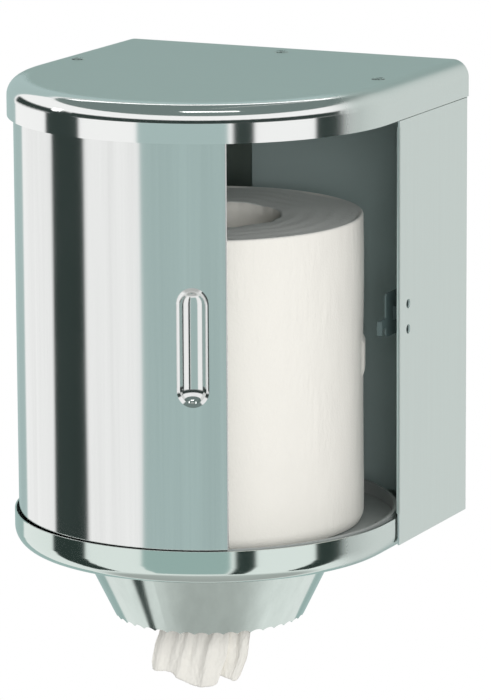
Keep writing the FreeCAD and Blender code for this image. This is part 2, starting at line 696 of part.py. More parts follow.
def make_lock_rocker():
    """Rocking plate: a flat that the key pushes, two lugs on the pin, and a hook at the front."""
    (front_y0, front_y1), (back_y0, back_y1) = lug_faces()
    web_out = ROCKER_X + LOCK_SHEET
    web = box(ROCKER_X, web_out, ROCKER_FRONT_Y, back_y1, LOCK_Z - ROCKER_HALF_H, LOCK_Z + ROCKER_HALF_H)
    corners = [e for e in web.Edges if abs(e.Length - LOCK_SHEET) < TOLERANCE]
    web = web.makeFillet(ROCKER_CORNER_R, corners)
    arm = box(ROCKER_X, web_out, HOOK_Y, KEY_HOLE_Y, ARM_Z0, ARM_Z1)
    tooth = box(ROCKER_X, TOOTH_TIP_X, HOOK_Y, HOOK_Y + LOCK_SHEET, TOOTH_Z0, ARM_Z1)
    rocker = [web, arm, tooth]
    root_x = ROCKER_X + LOCK_ROOT
    for y0, y1 in ((front_y0, front_y1), (back_y0, back_y1)):
        outline = [(root_x, LOCK_Z - LUG_ROOT_HALF_H), (PIVOT_X, LOCK_Z - LUG_R),
                   (PIVOT_X, LOCK_Z + LUG_R), (root_x, LOCK_Z + LUG_ROOT_HALF_H)]
        rocker.append(upright_plate(outline, y0, y1))
        rocker.append(pivot_cylinder(LUG_R, y0, y1))
    return fuse(rocker).cut(pivot_cylinder(PIN_R + PIN_FIT, front_y0 - PIN_END, back_y1 + PIN_END))


def clip_places():
    """Depths of the two retaining clips, just outside the rocker's lugs."""
    (front_y0, _), (_, back_y1) = lug_faces()
    return ((front_y0 - STACK_GAP - CLIP_T, front_y0 - STACK_GAP),
            (back_y1 + STACK_GAP, back_y1 + STACK_GAP + CLIP_T))


def make_lock_pin():
    (front_y0, front_y1), (back_y0, back_y1) = clip_places()
    pin = pivot_cylinder(PIN_R, front_y0 - PIN_END, back_y1 + PIN_END)
    for y0, y1 in ((front_y0, front_y1), (back_y0, back_y1)):
        groove = pivot_cylinder(2 * PIN_R, y0, y1).cut(pivot_cylinder(CLIP_GROOVE_R, y0, y1))
        pin = pin.cut(groove)
    return pin


def make_pin_clips():
    """Two open retaining rings that sit in the pin's grooves."""
    clips = []
    for y0, y1 in clip_places():
        ring = pivot_cylinder(CLIP_R, y0, y1).cut(pivot_cylinder(CLIP_GROOVE_R, y0, y1))
        mouth = box(PIVOT_X - CLIP_MOUTH / 2, PIVOT_X + CLIP_MOUTH / 2, y0 - CLIP_T, y1 + CLIP_T,
                    LOCK_Z, LOCK_Z + 2 * CLIP_R)
        clips.append(ring.cut(mouth))
    return Part.makeCompound(clips)


def make_lock_washers():
    """Friction washers between the bracket's ears and the rocker's lugs."""
    washers = []
    for y0, y1 in ((BRACKET_FRONT_Y - WASHER_T, BRACKET_FRONT_Y),
                   (BRACKET_BACK_Y, BRACKET_BACK_Y + WASHER_T)):
        washers.append(pivot_cylinder(WASHER_R, y0, y1).cut(pivot_cylinder(PIN_R + PIN_FIT, y0, y1)))
    return Part.makeCompound(washers)


# ---------------------------------------------------------------- paper

def make_paper_roll():
    """Coreless roll that stands on the lower rail's plate, with worn, rounded edges."""
    z0 = TRAY_SHEET + PLATE_TOP_H + RUNNING_GAP
    drop_r = ROLL_FOOT_ROUND_R
    drop_h = ROLL_FOOT_ROUND_H
    top_r = ROLL_TOP_ROUND
    half = math.sqrt(0.5)
    section = closed_face([
        Part.makeLine(profile_point(ROLL_HOLLOW_R, z0), profile_point(ROLL_R - drop_r, z0)),
        Part.Arc(profile_point(ROLL_R - drop_r, z0),
                 profile_point(ROLL_R - drop_r * (1 - half), z0 + drop_h * (1 - half)),
                 profile_point(ROLL_R, z0 + drop_h)).toShape(),
        Part.makeLine(profile_point(ROLL_R, z0 + drop_h), profile_point(ROLL_R, ROLL_TOP_Z - top_r)),
        Part.Arc(profile_point(ROLL_R, ROLL_TOP_Z - top_r),
                 profile_point(ROLL_R - top_r * (1 - half), ROLL_TOP_Z - top_r * (1 - half)),
                 profile_point(ROLL_R - top_r, ROLL_TOP_Z)).toShape(),
        Part.makeLine(profile_point(ROLL_R - top_r, ROLL_TOP_Z), profile_point(ROLL_HOLLOW_R, ROLL_TOP_Z)),
        Part.makeLine(profile_point(ROLL_HOLLOW_R, ROLL_TOP_Z), profile_point(ROLL_HOLLOW_R, z0)),
    ])
    return turn(section)


# Sections of the paper's end, from inside the roll down to the torn end: middle x, distance in front
# of the axis, height, half width and half thickness
TAIL_SECTIONS = (
    (-40.0, 4.0, 96.0, 3.0, 14.0),
    (-28.0, 6.0, 60.0, 8.0, 13.0),
    (-6.0, 10.0, 20.0, 14.0, 10.0),
    (3.0, 13.0, -20.0, 22.0, 10.0),
    (5.0, 14.0, -52.0, 31.5, 10.0),
    (0.0, 14.0, -72.0, 33.5, 9.0),
    (-7.0, 14.0, -96.0, 31.0, 6.0),
)


def make_paper_tail():
    """Soft strip that leaves the hollow's wall and bunches together down through the funnel."""
    rings = []
    for x, ahead, z, half_w, half_t in TAIL_SECTIONS:
        middle = Vector(x, AXIS_Y - ahead, z)
        major = max(half_w, half_t)
        minor = min(half_w, half_t)
        ellipse = Part.Ellipse(middle, major, minor)
        edge = ellipse.toShape()
        if half_t > half_w:
            edge.rotate(middle, UP, 90.0)
        rings.append(Part.Wire([edge]))
    return Part.makeLoft(rings, True, False)


def main():
    os.makedirs("parts", exist_ok=True)
    makers = {
        "rear_shell": make_rear_shell,
        "top_lid": make_top_lid,
        "bottom_tray": make_bottom_tray,
        "side_straps": make_side_straps,
        "outlet_funnel": make_outlet_funnel,
        "funnel_rivets": make_funnel_rivets,
        "lower_rail": make_lower_rail,
        "upper_rail": make_upper_rail,
        "lower_rail_rivets": make_lower_rail_rivets,
        "upper_rail_rivets": make_upper_rail_rivets,
        "stop_buffers": make_stop_buffers,
        "door_panel": make_door_panel,
        "lock_keeper": make_lock_keeper,
        "lock_bracket": make_lock_bracket,
        "lock_rocker": make_lock_rocker,
        "lock_pin": make_lock_pin,
        "pin_clips": make_pin_clips,
        "lock_washers": make_lock_washers,
        "paper_roll": make_paper_roll,
        "paper_tail": make_paper_tail,
    }
    for node, make in makers.items():
        shape = make()
        solids = len(shape.Solids)
        print(node, "solids", solids, "valid", shape.isValid(), "volume", round(shape.Volume))
        save(shape, node)


main()
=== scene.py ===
import math

import bpy
from mathutils import Matrix, Vector, noise


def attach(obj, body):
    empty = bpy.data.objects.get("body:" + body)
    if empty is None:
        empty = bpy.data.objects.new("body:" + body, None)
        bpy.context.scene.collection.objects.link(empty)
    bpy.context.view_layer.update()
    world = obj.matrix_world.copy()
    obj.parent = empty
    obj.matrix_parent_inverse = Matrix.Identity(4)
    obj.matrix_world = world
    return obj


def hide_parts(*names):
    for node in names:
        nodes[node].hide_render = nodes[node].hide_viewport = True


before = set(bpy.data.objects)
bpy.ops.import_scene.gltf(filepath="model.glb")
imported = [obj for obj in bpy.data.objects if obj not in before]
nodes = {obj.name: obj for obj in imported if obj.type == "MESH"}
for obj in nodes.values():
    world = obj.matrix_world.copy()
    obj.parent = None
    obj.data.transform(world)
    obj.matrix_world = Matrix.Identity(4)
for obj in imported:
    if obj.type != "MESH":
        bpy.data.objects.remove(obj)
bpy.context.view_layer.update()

# ------------------------------------------------------------------ sizes, in metres

AXIS_Y = -0.126           # the door, the rails and the roll share this upright axis
TRAY_Z = -0.1505          # underside of the tray
ROLL_RADIUS = 0.1
ROLL_HOLLOW = 0.0465
ROLL_BOTTOM = TRAY_Z + 0.0149
ROLL_TOP = TRAY_Z + 0.213

# ------------------------------------------------------------------ node helpers


def empty_material(name):
    material = bpy.data.materials.new(name)
    material.use_nodes = True
    material.node_tree.nodes.clear()
    return material, material.node_tree


def new_material(name):
    """A material with a principled shader joined to its output, and nothing else."""
    material, tree = empty_material(name)
    output = tree.nodes.new("ShaderNodeOutputMaterial")
    shader = tree.nodes.new("ShaderNodeBsdfPrincipled")
    tree.links.new(shader.outputs["BSDF"], output.inputs["Surface"])
    return material, tree, shader


def add(tree, kind, inputs=(), **settings):
    """A node with its settings, and with values or links put into its inputs."""
    node = tree.nodes.new(kind)
    for key, value in settings.items():
        setattr(node, key, value)
    for key, value in dict(inputs).items():
        socket = node.inputs[key]
        if isinstance(value, bpy.types.NodeSocket):
            tree.links.new(value, socket)
        else:
            socket.default_value = value
    return node


def math_node(tree, operation, a, b=0.0):
    return add(tree, "ShaderNodeMath", {0: a, 1: b}, operation=operation).outputs[0]


def smooth_step(tree, value, low, high):
    """0 at low, 1 at high, and a soft step between them."""
    node = add(tree, "ShaderNodeMapRange", {"Value": value, "From Min": low, "From Max": high},
               interpolation_type="SMOOTHSTEP")
    return node.outputs["Result"]


def mix_value(tree, factor, a, b):
    return add(tree, "ShaderNodeMix", {0: factor, 2: a, 3: b}, data_type="FLOAT").outputs[0]


def mix_color(tree, factor, a, b):
    return add(tree, "ShaderNodeMix", {0: factor, 6: a, 7: b}, data_type="RGBA").outputs[2]


def mix_to_output(tree, factor, first, second):
    """Sends a mix of two shaders to the material's output."""
    mixed = add(tree, "ShaderNodeMixShader", {0: factor, 1: first.outputs[0], 2: second.outputs[0]})
    add(tree, "ShaderNodeOutputMaterial", {"Surface": mixed.outputs[0]})


def rgba(color, factor=1.0):
    """A colour made darker or lighter by a factor, with full alpha."""
    return (*[channel * factor for channel in color], 1.0)


def object_place(tree):
    return add(tree, "ShaderNodeTexCoord").outputs["Object"]


def stretched_noise(tree, scale, detail, rough=0.5):
    """Noise over the object's own coordinates, with a scale for each direction, per metre."""
    stretch = add(tree, "ShaderNodeMapping", {"Vector": object_place(tree), "Scale": scale})
    grain = add(tree, "ShaderNodeTexNoise", {"Vector": stretch.outputs[0], "Scale": 1.0,
                                             "Detail": detail, "Roughness": rough})
    return grain.outputs["Fac"]


def bump(tree, height, distance, strength=1.0, under=None):
    """A normal that follows a height of so many metres, over the normal of a coarser bump."""
    inputs = {"Height": height, "Distance": distance, "Strength": strength}
    if under is not None:
        inputs["Normal"] = under
    return add(tree, "ShaderNodeBump", inputs).outputs["Normal"]


# ------------------------------------------------------------------ metals

STEEL = (0.86, 0.87, 0.86)            # the door, the funnel's rivets and the lid's drawn edge
SOFT_STEEL = (0.66, 0.74, 0.70)       # the funnel and the tray's drawn edge
SATIN = (0.60, 0.67, 0.64)
MILL = (0.50, 0.61, 0.60)             # the walls' unpolished inside

# Marks on the steel, each as a noise: its scales along x, y and z per metre, its detail and, where
# it isn't the usual one, its roughness. A mark is long in the direction whose scale is small.
POLISHING_LINES = ((900.0, 900.0, 14.0), 3.0)
POLISHING_STREAKS = ((110.0, 110.0, 1.5), 4.0, 0.6)
SHEET_RIPPLES = ((9.0, 9.0, 3.0), 1.0)
SMEARS = ((30.0, 30.0, 12.0), 4.0)
UPRIGHT_SCRATCHES = ((700.0, 700.0, 9.0), 4.0, 0.65)
LEVEL_SCRATCHES = ((9.0, 700.0, 700.0), 4.0, 0.65)
CLOUDS = ((16.0, 16.0, 16.0), 3.0)
RIVET_MARKS = ((420.0, 420.0, 420.0), 3.0, 0.7)

# Tones as shares of the steel's colour
STREAK_TONES = (0.80, 1.06)
SCRATCH_TONE = 0.86
CLOUD_TONE = 0.9
DOOR_INSIDE_TONE = 0.75
RIVET_MARK_TONE = 0.16
WALL_CLOUDS = 0.35                    # how strongly the clouds show on walls and straps
LID_CLOUDS = 0.3                      # and on lid and tray

MIRROR_ROUGHNESS = (0.07, 0.13)
EDGE_ROUGHNESS = 0.09
SATIN_ROUGHNESS = (0.3, 0.42)
DOOR_INSIDE_ROUGHNESS = 0.4
MILL_ROUGHNESS = 0.6
MILL_METALLIC = 0.3
RIVET_MARK_EDGE = (0.47, 0.55)        # noise values between which a mark begins
RIVET_ROUGHNESS = (0.4, 0.6)

# Bumps: height in metres, and strength
RIPPLE_BUMP = (0.0016, 0.5)
LINE_BUMP = (0.00001, 0.25)
RIVET_MARK_BUMP = (0.0001, -0.4)
SCRATCH_HEIGHT = 0.00002
SCRATCH_STRENGTH = 0.35
EDGE_STRENGTH = 0.02                  # what is left of the scratches on the mirror edge

MIRROR_TURN = (76.0, 60.0)            # the drawn edge turns from satin to mirror, in degrees
MIRROR_RADIUS = (0.1100, 0.1170)      # and outwards from the axis
OUTWARD_LIMIT = -0.01                 # sheet edges, whose plane passes near the axis, count as outside


def polar_place(tree):
    """Angle from the front, the same to the left and to the right, and distance from the axis."""
    xyz = add(tree, "ShaderNodeSeparateXYZ", {0: object_place(tree)})
    ahead = math_node(tree, "SUBTRACT", AXIS_Y, xyz.outputs[1])
    aside = math_node(tree, "ABSOLUTE", xyz.outputs[0])
    squares = math_node(tree, "ADD", math_node(tree, "MULTIPLY", aside, aside),
                        math_node(tree, "MULTIPLY", ahead, ahead))
    return math_node(tree, "ARCTAN2", aside, ahead), math_node(tree, "SQRT", squares)


def faces_outwards(tree):
    """1 where a face looks away from the axis, 0 where it looks towards it."""
    from_axis = add(tree, "ShaderNodeVectorMath", {0: object_place(tree), 1: (0.0, AXIS_Y, 0.0)},
                    operation="SUBTRACT")
    flat = add(tree, "ShaderNodeVectorMath", {0: from_axis.outputs[0], 1: (1.0, 1.0, 0.0)},
               operation="MULTIPLY")
    normal = add(tree, "ShaderNodeNewGeometry").outputs["True Normal"]
    facing = add(tree, "ShaderNodeVectorMath", {0: flat.outputs[0], 1: normal}, operation="DOT_PRODUCT")
    return math_node(tree, "GREATER_THAN", facing.outputs["Value"], OUTWARD_LIMIT)


def polished_steel(name, color=STEEL, dull_inside=False):
    """Mirror finish with faint ripples, upright polishing lines and a few smears.

    With a dull inside, faces that look towards the axis are left unpolished.
    """
    material, tree, shader = new_material(name)
    lines = stretched_noise(tree, *POLISHING_LINES)
    streaks = stretched_noise(tree, *POLISHING_STREAKS)
    ripples = stretched_noise(tree, *SHEET_RIPPLES)
    smears = stretched_noise(tree, *SMEARS)
    tint = mix_color(tree, streaks, *(rgba(color, tone) for tone in STREAK_TONES))
    dullness = mix_value(tree, smears, *MIRROR_ROUGHNESS)
    if dull_inside:
        outside = faces_outwards(tree)
        tint = mix_color(tree, outside, rgba(SATIN, DOOR_INSIDE_TONE), tint)
        dullness = mix_value(tree, outside, DOOR_INSIDE_ROUGHNESS, dullness)
    shader.inputs["Metallic"].default_value = 1.0
    tree.links.new(tint, shader.inputs["Base Color"])
    tree.links.new(dullness, shader.inputs["Roughness"])
    rippled = bump(tree, ripples, *RIPPLE_BUMP)
    tree.links.new(bump(tree, lines, *LINE_BUMP, under=rippled), shader.inputs["Normal"])
    return material


def satin_tint(tree, scratches, cloud_share):
    """Satin colour, darker in its scratches and a little in soft clouds."""
    scratched = mix_color(tree, scratches, rgba(SATIN, SCRATCH_TONE), rgba(SATIN))
    clouds = math_node(tree, "MULTIPLY", stretched_noise(tree, *CLOUDS), cloud_share)
    return mix_color(tree, clouds, scratched, rgba(SATIN, CLOUD_TONE))


def satin_steel(name, dull_inside=False):
    """Brushed finish with upright scratches.

    With a dull inside, faces that look towards the axis keep the sheet's matt mill finish.
    """
    material, tree, shader = new_material(name)
    scratches = stretched_noise(tree, *UPRIGHT_SCRATCHES)
    tint = satin_tint(tree, scratches, WALL_CLOUDS)
    dullness = mix_value(tree, scratches, *SATIN_ROUGHNESS)
    shader.inputs["Metallic"].default_value = 1.0
    if dull_inside:
        outside = faces_outwards(tree)
        clouds = stretched_noise(tree, *CLOUDS)
        mill = mix_color(tree, clouds, rgba(MILL, CLOUD_TONE), rgba(MILL))
        tint = mix_color(tree, outside, mill, tint)
        dullness = mix_value(tree, outside, MILL_ROUGHNESS, dullness)
        tree.links.new(mix_value(tree, outside, MILL_METALLIC, 1.0), shader.inputs["Metallic"])
    tree.links.new(tint, shader.inputs["Base Color"])
    tree.links.new(dullness, shader.inputs["Roughness"])
    normal = bump(tree, scratches, SCRATCH_HEIGHT, SCRATCH_STRENGTH)
    tree.links.new(normal, shader.inputs["Normal"])
    return material


def drawn_steel(name, color=STEEL):
    """Satin on the flat faces and the flat sides, mirror finish round the drawn front edge."""
    material, tree, shader = new_material(name)
    angle, radius = polar_place(tree)
    front = smooth_step(tree, angle, *(math.radians(turn) for turn in MIRROR_TURN))
    mirror = math_node(tree, "MULTIPLY", front, smooth_step(tree, radius, *MIRROR_RADIUS))

    scratches = stretched_noise(tree, *LEVEL_SCRATCHES)
    tint = mix_color(tree, mirror, satin_tint(tree, scratches, LID_CLOUDS), rgba(color))
    dullness = mix_value(tree, mirror, mix_value(tree, scratches, *SATIN_ROUGHNESS), EDGE_ROUGHNESS)
    shader.inputs["Metallic"].default_value = 1.0
    tree.links.new(tint, shader.inputs["Base Color"])
    tree.links.new(dullness, shader.inputs["Roughness"])
    strength = mix_value(tree, mirror, SCRATCH_STRENGTH, EDGE_STRENGTH)
    tree.links.new(bump(tree, scratches, SCRATCH_HEIGHT, strength), shader.inputs["Normal"])
    return material


def struck_rivets(name):
    """Satin rivet heads with the small dark marks that the tool leaves."""
    material, tree, shader = new_material(name)
    marks = smooth_step(tree, stretched_noise(tree, *RIVET_MARKS), *RIVET_MARK_EDGE)
    tint = mix_color(tree, marks, rgba(SATIN), rgba(SATIN, RIVET_MARK_TONE))
    shader.inputs["Metallic"].default_value = 1.0
    tree.links.new(tint, shader.inputs["Base Color"])
    tree.links.new(mix_value(tree, marks, *RIVET_ROUGHNESS), shader.inputs["Roughness"])
    tree.links.new(bump(tree, marks, *RIVET_MARK_BUMP), shader.inputs["Normal"])
    return material


# ------------------------------------------------------------------ plastic, rubber, paper

RAIL_GREY = (0.42, 0.45, 0.44)
BUFFER_BLACK = (0.03, 0.03, 0.03)
DARK_ZINC = (0.09, 0.13, 0.13)
WASHER_WHITE = (0.8, 0.79, 0.75)
MOULD_GRAIN = ((2500.0, 2500.0, 2500.0), 2.0)
MOULD_CLOUDS = ((40.0, 40.0, 40.0), 3.0)
MOULD_CLOUD_TONE = 0.86
MOULD_SHINIER = 0.06                  # the roughness falls by this much
MOULD_DULLER = 0.08                   # and rises by this much in the clouds
MOULD_GRAIN_BUMP = (0.00003, 0.4)

TISSUE = (0.91, 0.89, 0.83)
# painted shade: the darker grey of the roll's cut end faces, top and bottom
CUT_END_SHADE = (0.74, 0.76, 0.73)
CREASE_SHADE_TONE = 0.95                    # as a share of the tissue's colour; painted shade in the creases' hollows
END_SHADE_SLOPE = (0.6, 0.95)               # from side to the cut end's painted shade, by how far a face looks up or down
DIMPLES = 700.0                       # per metre
FIBRES = ((1500.0, 1500.0, 600.0), 4.0, 0.7)
CREASES = ((60.0, 60.0, 18.0), 4.0, 0.6)
WRINKLES = ((260.0, 260.0, 90.0), 3.0)
WRINKLED_PATCHES = ((14.0, 14.0, 9.0), 2.0)
PATCH_EDGE = (0.5, 0.62)              # noise values between which a patch begins
CREASE_BUMP = (0.0015, 0.25)
WRINKLE_BUMP = (0.0012, 0.5)
DIMPLE_BUMP = (0.00025, 0.35)
FIBRE_BUMP = (0.0001, 0.4)


def moulded_plastic(name, color, roughness=0.5):
    """Even matt surface with a fine grain, a little uneven in tone and shine."""
    material, tree, shader = new_material(name)
    grain = stretched_noise(tree, *MOULD_GRAIN)
    clouds = stretched_noise(tree, *MOULD_CLOUDS)
    tint = mix_color(tree, clouds, rgba(color), rgba(color, MOULD_CLOUD_TONE))
    dullness = mix_value(tree, clouds, roughness - MOULD_SHINIER, roughness + MOULD_DULLER)
    tree.links.new(tint, shader.inputs["Base Color"])
    tree.links.new(dullness, shader.inputs["Roughness"])
    tree.links.new(bump(tree, grain, *MOULD_GRAIN_BUMP), shader.inputs["Normal"])
    return material


def tissue_paper(name, shaded_ends=False):
    """Soft embossed tissue with fine dimples, fibres, faint creases and patches of wrinkles.

    If asked, faces that look up or down get a darker grey: painted shade on the cut end of a wound roll,
    top and bottom.
    """
    material, tree, shader = new_material(name)
    dimples = add(tree, "ShaderNodeTexVoronoi", {"Vector": object_place(tree), "Scale": DIMPLES},
                  feature="SMOOTH_F1").outputs["Distance"]
    fibres = stretched_noise(tree, *FIBRES)
    creases = stretched_noise(tree, *CREASES)
    # painted shade: the tissue is darker in the hollows of the creases that the bump below draws
    tint = mix_color(tree, creases, rgba(TISSUE, CREASE_SHADE_TONE), rgba(TISSUE))
    # painted shade: faces that look up or down, the roll's cut end at top and bottom, turn a darker grey
    if shaded_ends:
        normal = add(tree, "ShaderNodeNewGeometry").outputs["True Normal"]
        upright = add(tree, "ShaderNodeSeparateXYZ", {0: normal}).outputs[2]
        end_shade = smooth_step(tree, math_node(tree, "ABSOLUTE", upright), *END_SHADE_SLOPE)
        tint = mix_color(tree, end_shade, tint, rgba(CUT_END_SHADE))
    tree.links.new(tint, shader.inputs["Base Color"])
    shader.inputs["Roughness"].default_value = 0.92
    shader.inputs["Specular IOR Level"].default_value = 0.15
    shader.inputs["Sheen Weight"].default_value = 0.12
    patches = smooth_step(tree, stretched_noise(tree, *WRINKLED_PATCHES), *PATCH_EDGE)
    wrinkles = math_node(tree, "MULTIPLY", patches, stretched_noise(tree, *WRINKLES))
    creased = bump(tree, creases, *CREASE_BUMP)
    wrinkled = bump(tree, wrinkles, *WRINKLE_BUMP, under=creased)
    dimpled = bump(tree, dimples, *DIMPLE_BUMP, under=wrinkled)
    tree.links.new(bump(tree, fibres, *FIBRE_BUMP, under=dimpled), shader.inputs["Normal"])
    return material


# ------------------------------------------------------------------ mesh helpers


def mesh_object(name, verts, faces, material, smooth=True):
    mesh = bpy.data.meshes.new(name)
    mesh.from_pydata(verts, [], faces)
    mesh.update()
    if smooth:
        mesh.shade_smooth()
    mesh.materials.append(material)
    piece = bpy.data.objects.new(name, mesh)
    bpy.context.scene.collection.objects.link(piece)
    return piece


def grid_faces(rows, columns, close=False):
    """Quads between rows of points; close joins the last column to the first."""
    faces = []
    for r in range(rows - 1):
        for c in range(columns if close else columns - 1):
            d = (c + 1) % columns
            faces.append((r * columns + c, r * columns + d, (r + 1) * columns + d, (r + 1) * columns + c))
    return faces


def hump(value, low, high, edge):
    """1 between low and high, and a soft fall to 0 over an edge on both sides."""
    inside = min(value - low, high - value) / edge + 1
    t = min(1.0, max(0.0, inside))
    return t * t * (3 - 2 * t)


def wobble(*place):
    """Smooth noise around 0, between -1 and 1, at a place of three numbers."""
    return noise.noise(Vector(place))


def direction(turn, rise):
    """Unit vector at an angle from the front towards the right, and above the horizon."""
    turn = math.radians(turn)
    rise = math.radians(rise)
    return Vector((math.cos(rise) * math.sin(turn), -math.cos(rise) * math.cos(turn), math.sin(rise)))


# ------------------------------------------------------------------ paper roll

TOP_ROUNDING = 0.0015             # radius of the roll's upper edge
FOOT_WIDTH = 0.004                # the lower edge is rounded over this width
FOOT_HEIGHT = 0.006               # and over this height
BASE_SHORT = 0.0005               # the underside ends this far from the hollow
ROLL_COLUMNS = 360
HOLLOW_STEPS = 24
TOP_STEPS = 26
EDGE_STEPS = 3
SIDE_STEPS = 59
FOOT_STEPS = 7
BASE_STEPS = 6

SINK = 0.0008                     # the soft paper lies this far inside the plain roll
SOFT_DENTS = 0.0006
FINE_DENTS = 0.00015
HOLE_DENTS = 0.0002
SOFT_WAVES = (2.4, 16)            # how close the dents lie, round the roll and up it
FINE_WAVES = (14, 60)
TORN_WAVES = 5                    # how often the hole's torn edge wavers
TORN_LAYER = 7.0                  # the height in the noise that it is taken from
WRAP_RIDGES = 0.00015             # height of the cut wraps on the end
WRAPS = 2600                      # their number, in radians per metre
WRAP_WANDER = 3                   # how far they run out of round, in radians
TORN_DROP = 0.0009                # how far the hole's torn edge sinks
TORN_POWER = 12                   # how closely that keeps to the edge
TORN_SHIFT = 0.0007               # and moves aside
TORN_DEPTH = 0.02                 # down to this far below the top
SIDE_BAND = 0.002                 # what counts as the side, from the roll's radius inwards
TOP_BAND = 0.0001
HOLLOW_BAND = 0.003

LOOSE_END_TURN = 116.0            # the outer wrap's loose edge, in degrees from the front
LOOSE_END_WIDTH = 9.0             # degrees of paper that lift with it
LOOSE_END_STEP = 0.6              # degrees over which it falls back
LOOSE_END_LIFT = 0.0014
LOOSE_END_Z = (-0.038, -0.020)    # where that edge stands proud most
LOOSE_END_FADE = 0.004


def roll_profile():
    """Section of the roll as (radius, height), from the foot of the hollow up, over and down."""
    points = []
    height = ROLL_TOP - ROLL_BOTTOM
    for i in range(HOLLOW_STEPS + 1):
        points.append((ROLL_HOLLOW, ROLL_BOTTOM + height * i / HOLLOW_STEPS))
    top_width = ROLL_RADIUS - TOP_ROUNDING - ROLL_HOLLOW
    for i in range(1, TOP_STEPS + 1):
        points.append((ROLL_HOLLOW + top_width * i / TOP_STEPS, ROLL_TOP))
    for i in range(1, EDGE_STEPS + 1):
        a = math.radians(90 * i / EDGE_STEPS)
        points.append((ROLL_RADIUS - TOP_ROUNDING * (1 - math.sin(a)),
                       ROLL_TOP - TOP_ROUNDING * (1 - math.cos(a))))
    side_height = height - TOP_ROUNDING - FOOT_HEIGHT
    for i in range(1, SIDE_STEPS + 1):
        points.append((ROLL_RADIUS, ROLL_TOP - TOP_ROUNDING - side_height * i / SIDE_STEPS))
    for i in range(1, FOOT_STEPS + 1):
        a = math.radians(90 * i / FOOT_STEPS)
        points.append((ROLL_RADIUS - FOOT_WIDTH * (1 - math.cos(a)),
                       ROLL_BOTTOM + FOOT_HEIGHT * (1 - math.sin(a))))
    base_radius = ROLL_RADIUS - FOOT_WIDTH
    base_width = base_radius - ROLL_HOLLOW - BASE_SHORT
    for i in range(1, BASE_STEPS + 1):
        points.append((base_radius - base_width * i / BASE_STEPS, ROLL_BOTTOM))
    return points


def dents(way, z, around, upwards):
    """Smooth noise on the roll in a direction and at a height."""
    return wobble(way.x * around, way.y * around, z * upwards)


def roll_point(radius, z, a):
    """A point of the wound paper, with its soft dents, its torn hole and its loose end."""
    way = Vector((math.sin(a), -math.cos(a), 0.0))
    soft = dents(way, z, *SOFT_WAVES)
    fine = dents(way, z, *FINE_WAVES)
    torn = wobble(way.x * TORN_WAVES, way.y * TORN_WAVES, TORN_LAYER)
    if radius > ROLL_RADIUS - SIDE_BAND:
        radius += -SINK + SOFT_DENTS * soft + FINE_DENTS * fine
        turn = hump(math.degrees(a), LOOSE_END_TURN - LOOSE_END_WIDTH, LOOSE_END_TURN, LOOSE_END_STEP)
        radius += LOOSE_END_LIFT * turn * hump(z, *LOOSE_END_Z, LOOSE_END_FADE)
    elif z > ROLL_TOP - TOP_BAND:
        near_hole = 1 - (radius - ROLL_HOLLOW) / (ROLL_RADIUS - ROLL_HOLLOW)
        wraps = WRAP_RIDGES * math.sin(radius * WRAPS + WRAP_WANDER * soft)
        z += wraps - SINK + SOFT_DENTS * soft - TORN_DROP * near_hole ** TORN_POWER * (1 + torn)
    if radius < ROLL_HOLLOW + HOLLOW_BAND:
        near_top = max(0.0, 1 - (ROLL_TOP - z) / TORN_DEPTH)
        radius += TORN_SHIFT * near_top * torn + HOLE_DENTS * fine
    return (radius * way.x, AXIS_Y + radius * way.y, z)


def make_roll():
    profile = roll_profile()
    verts = []
    for radius, z in profile:
        for c in range(ROLL_COLUMNS):
            verts.append(roll_point(radius, z, 2 * math.pi * c / ROLL_COLUMNS))
    faces = grid_faces(len(profile), ROLL_COLUMNS, close=True)
    return mesh_object("tissue_roll", verts, faces, tissue_paper("roll_tissue", shaded_ends=True))


# ------------------------------------------------------------------ paper tail

# Middle x, distance in front of the axis, height above the tray's underside, half width, half depth
TAIL_PATH = (
    (-0.0400, 0.004, 0.0955, 0.0028, 0.0135),
    (-0.0280, 0.006, 0.0600, 0.0078, 0.0125),
    (-0.0060, 0.010, 0.0200, 0.0137, 0.0097),
    (0.0030, 0.013, -0.0200, 0.0217, 0.0097),
    (0.0050, 0.014, -0.0520, 0.0310, 0.0097),
    (0.0000, 0.014, -0.0720, 0.0332, 0.0087),
    (-0.0070, 0.014, -0.0958, 0.0308, 0.0058),
)
# The folds in plan: share of the sheet's width, place across from -1 to 1, and depth from -1 in
# front to 1 behind. The sheet doubles back on itself once, near its right side.
FOLDS = (
    (0.00, -1.00, 0.00),
    (0.10, -0.84, -0.62),
    (0.20, -0.58, -0.42),
    (0.33, -0.28, -0.66),
    (0.44, 0.00, -0.46),
    (0.56, 0.32, -0.64),
    (0.67, 0.60, -0.42),
    (0.74, 0.50, 0.06),
    (0.82, 0.68, 0.28),
    (0.91, 0.86, 0.05),
    (1.00, 1.00, 0.30),
)
# The torn lower edge: share of the sheet's width, and height
LOWER_EDGE = (
    (0.00, -0.0835),
    (0.05, -0.0880),
    (0.24, -0.0880),
    (0.38, -0.0925),
    (0.50, -0.0952),
    (0.64, -0.0932),
    (0.73, -0.0872),
    (0.84, -0.0882),
    (0.96, -0.0890),
    (1.00, -0.0850),
)
TAIL_COLUMNS = 260
TAIL_ROWS = 150
TISSUE_THICKNESS = 0.0003
# Waves of each unevenness across the sheet and down it, and the layer of the noise that it is
# taken from
FRINGE_WAVES = (70, 0, 3.0)
SWAY_WAVES = (5, 3, 5.0)
PLEAT_WAVES = (4, 4, 2.0)
SLACK_WAVES = (7, 9, 8.0)
CRINKLE_WAVES = (45, 60, 1.0)
FRINGE = 0.0006                   # unevenness of the torn edge
CRINKLE = 0.0005
SWAY = 0.05                       # how far a fold wanders across, as a share of the half width
PLEATS = 8.5                      # small pleats over the sheet's width
PLEAT_WANDER = 0.5                # how far they wander, as a share of a pleat
PLEAT_DEPTH = 0.07                # this and the slack as shares of the room in depth
SLACK = 0.30
DEEPEST = 0.95
ROOM_AT_SIDES = 0.12              # share of the half depth that the folds may fill
ROOM_TO_MIDDLE = 0.8              # and what comes to it towards the middle


